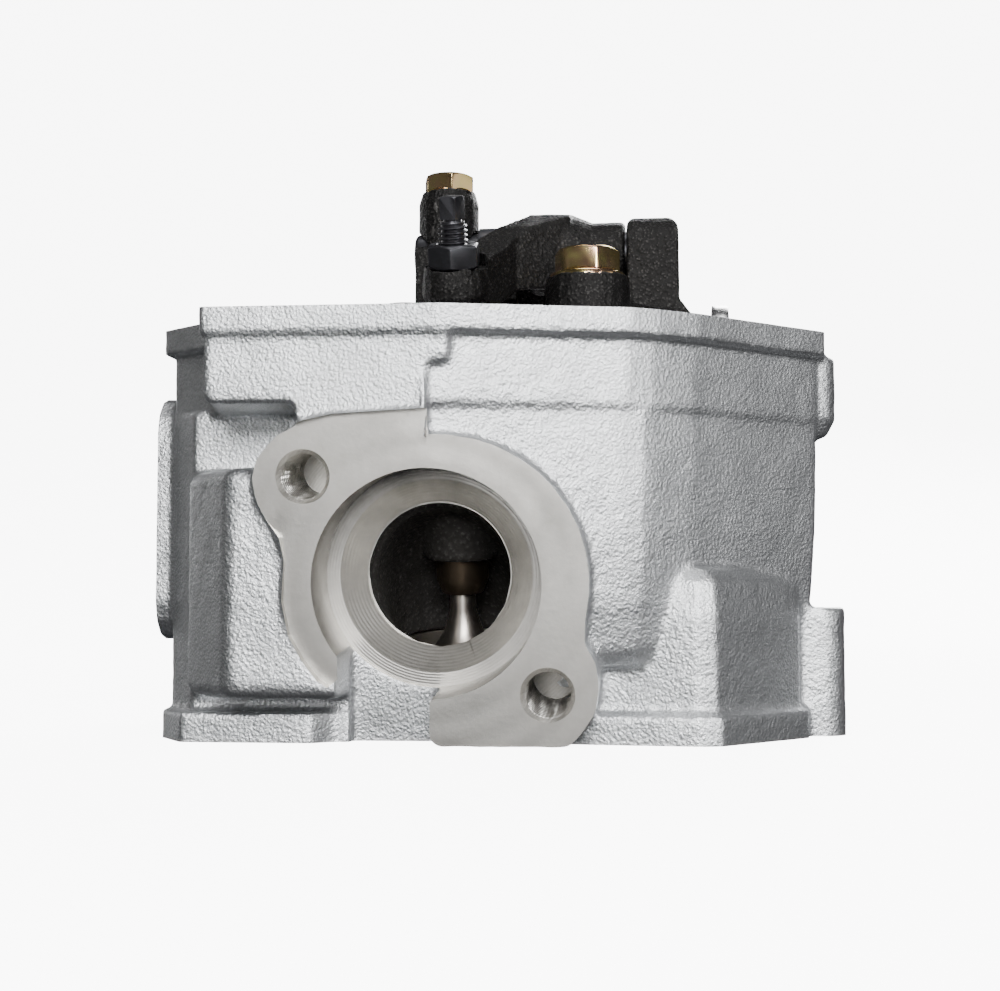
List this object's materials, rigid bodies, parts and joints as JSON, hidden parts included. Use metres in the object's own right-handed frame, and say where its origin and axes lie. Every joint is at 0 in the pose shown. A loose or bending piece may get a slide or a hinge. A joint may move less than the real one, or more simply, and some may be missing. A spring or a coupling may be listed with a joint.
{
  "type": "engine cylinder head",
  "caption": "Liquid-cooled single-cylinder engine head with open rocker box, overhead camshaft, rockers, sprung valves and an angled exhaust port face.",
  "frame": {"origin": "centre of the bounding box on the deck plane", "axes": "+Z away from the cylinder towards the rocker cover, +X along the camshaft towards the chain side, +Y from the exhaust side to the intake side"},
  "size_m": [0.1412, 0.1302, 0.1212],
  "materials": {
    "cast_aluminium": "silver-painted sand casting with a fine leathery grain, machined faces bare",
    "black_iron": "black-coated iron casting, grainy",
    "black_steel": "black oxide, satin",
    "ground_steel": "ground, lightly oiled",
    "spring_steel": "dark shot-peened wire",
    "valve_steel": "turned, slightly tanned",
    "sintered_seat": "machined sintered iron",
    "bronze": "turned bronze",
    "yellow_zinc": "yellow zinc chromate with a faint rainbow",
    "green_rubber": "moulded, matt"
  },
  "bodies": {
    "head": {"cylinder_head": "cast_aluminium", "cam_thrust_plate": "black_steel", "core_plug": "yellow_zinc", "exhaust_rocker_shaft": "ground_steel", "exhaust_shaft_spacer": "black_steel", "exhaust_spring_seat": "black_steel", "exhaust_stem_seal": "green_rubber", "exhaust_valve_guide": "bronze", "exhaust_valve_seat": "sintered_seat", "exhaust_valve_spring": "spring_steel", "holder_bolt_front": "yellow_zinc", "holder_bolt_left": "yellow_zinc", "holder_bolt_rear": "yellow_zinc", "holder_dowel_front": "ground_steel", "holder_dowel_rear": "ground_steel", "intake_rocker_shaft": "ground_steel", "intake_shaft_pin": "black_steel", "intake_shaft_spacer": "black_steel", "intake_spring_seat": "black_steel", "intake_stem_seal": "green_rubber", "intake_valve_guide": "bronze", "intake_valve_seat": "sintered_seat", "intake_valve_spring": "spring_steel", "rocker_holder": "black_iron", "thrust_plate_screw": "yellow_zinc", "tower_bolt": "yellow_zinc"},
    "camshaft": {"camshaft": "ground_steel"},
    "exhaust_rocker_body": {"exhaust_rocker": "black_iron", "exhaust_adjusting_screw": "black_steel", "exhaust_lock_nut": "black_steel"},
    "exhaust_valve_body": {"exhaust_valve": "valve_steel", "exhaust_spring_retainer": "black_steel", "exhaust_collet_left": "ground_steel", "exhaust_collet_right": "ground_steel"},
    "intake_rocker_body": {"intake_rocker": "black_iron", "intake_adjusting_screw": "black_steel", "intake_lock_nut": "black_steel"},
    "intake_valve_body": {"intake_valve": "valve_steel", "intake_spring_retainer": "black_steel", "intake_collet_left": "ground_steel", "intake_collet_right": "ground_steel"}
  },
  "joints": [
    {"name": "camshaft_turn", "type": "hinge", "parent": "head", "child": "camshaft", "pos_m": [0.00864, 0.00473, 0.08], "axis": [1, 0, 0], "range_deg": [-55, 55]},
    {"name": "exhaust_rocker_pivot", "type": "hinge", "parent": "head", "child": "exhaust_rocker_body", "pos_m": [0.00864, -0.00777, 0.1032], "axis": [1, 0, 0], "range_deg": [0, 16]},
    {"name": "exhaust_valve_lift", "type": "slide", "parent": "head", "child": "exhaust_valve_body", "axis": [0, 0.2079, -0.9781], "range_m": [0, 0.0063], "stiffness_N_per_m": 100, "springref_m": -0.01, "deforming": ["exhaust_valve_spring"]},
    {"name": "intake_rocker_pivot", "type": "hinge", "parent": "head", "child": "intake_rocker_body", "pos_m": [0.00864, 0.01724, 0.1032], "axis": [-1, 0, 0], "range_deg": [0, 16]},
    {"name": "intake_valve_lift", "type": "slide", "parent": "head", "child": "intake_valve_body", "axis": [0, -0.2079, -0.9781], "range_m": [0, 0.0063], "stiffness_N_per_m": 100, "springref_m": -0.01, "deforming": ["intake_valve_spring"]}
  ],
  "couplings": [
    {"joint": "exhaust_rocker_pivot", "follows": "exhaust_valve_lift", "rad_per_m": 44.248},
    {"joint": "intake_rocker_pivot", "follows": "intake_valve_lift", "rad_per_m": 44.248}
  ]
}
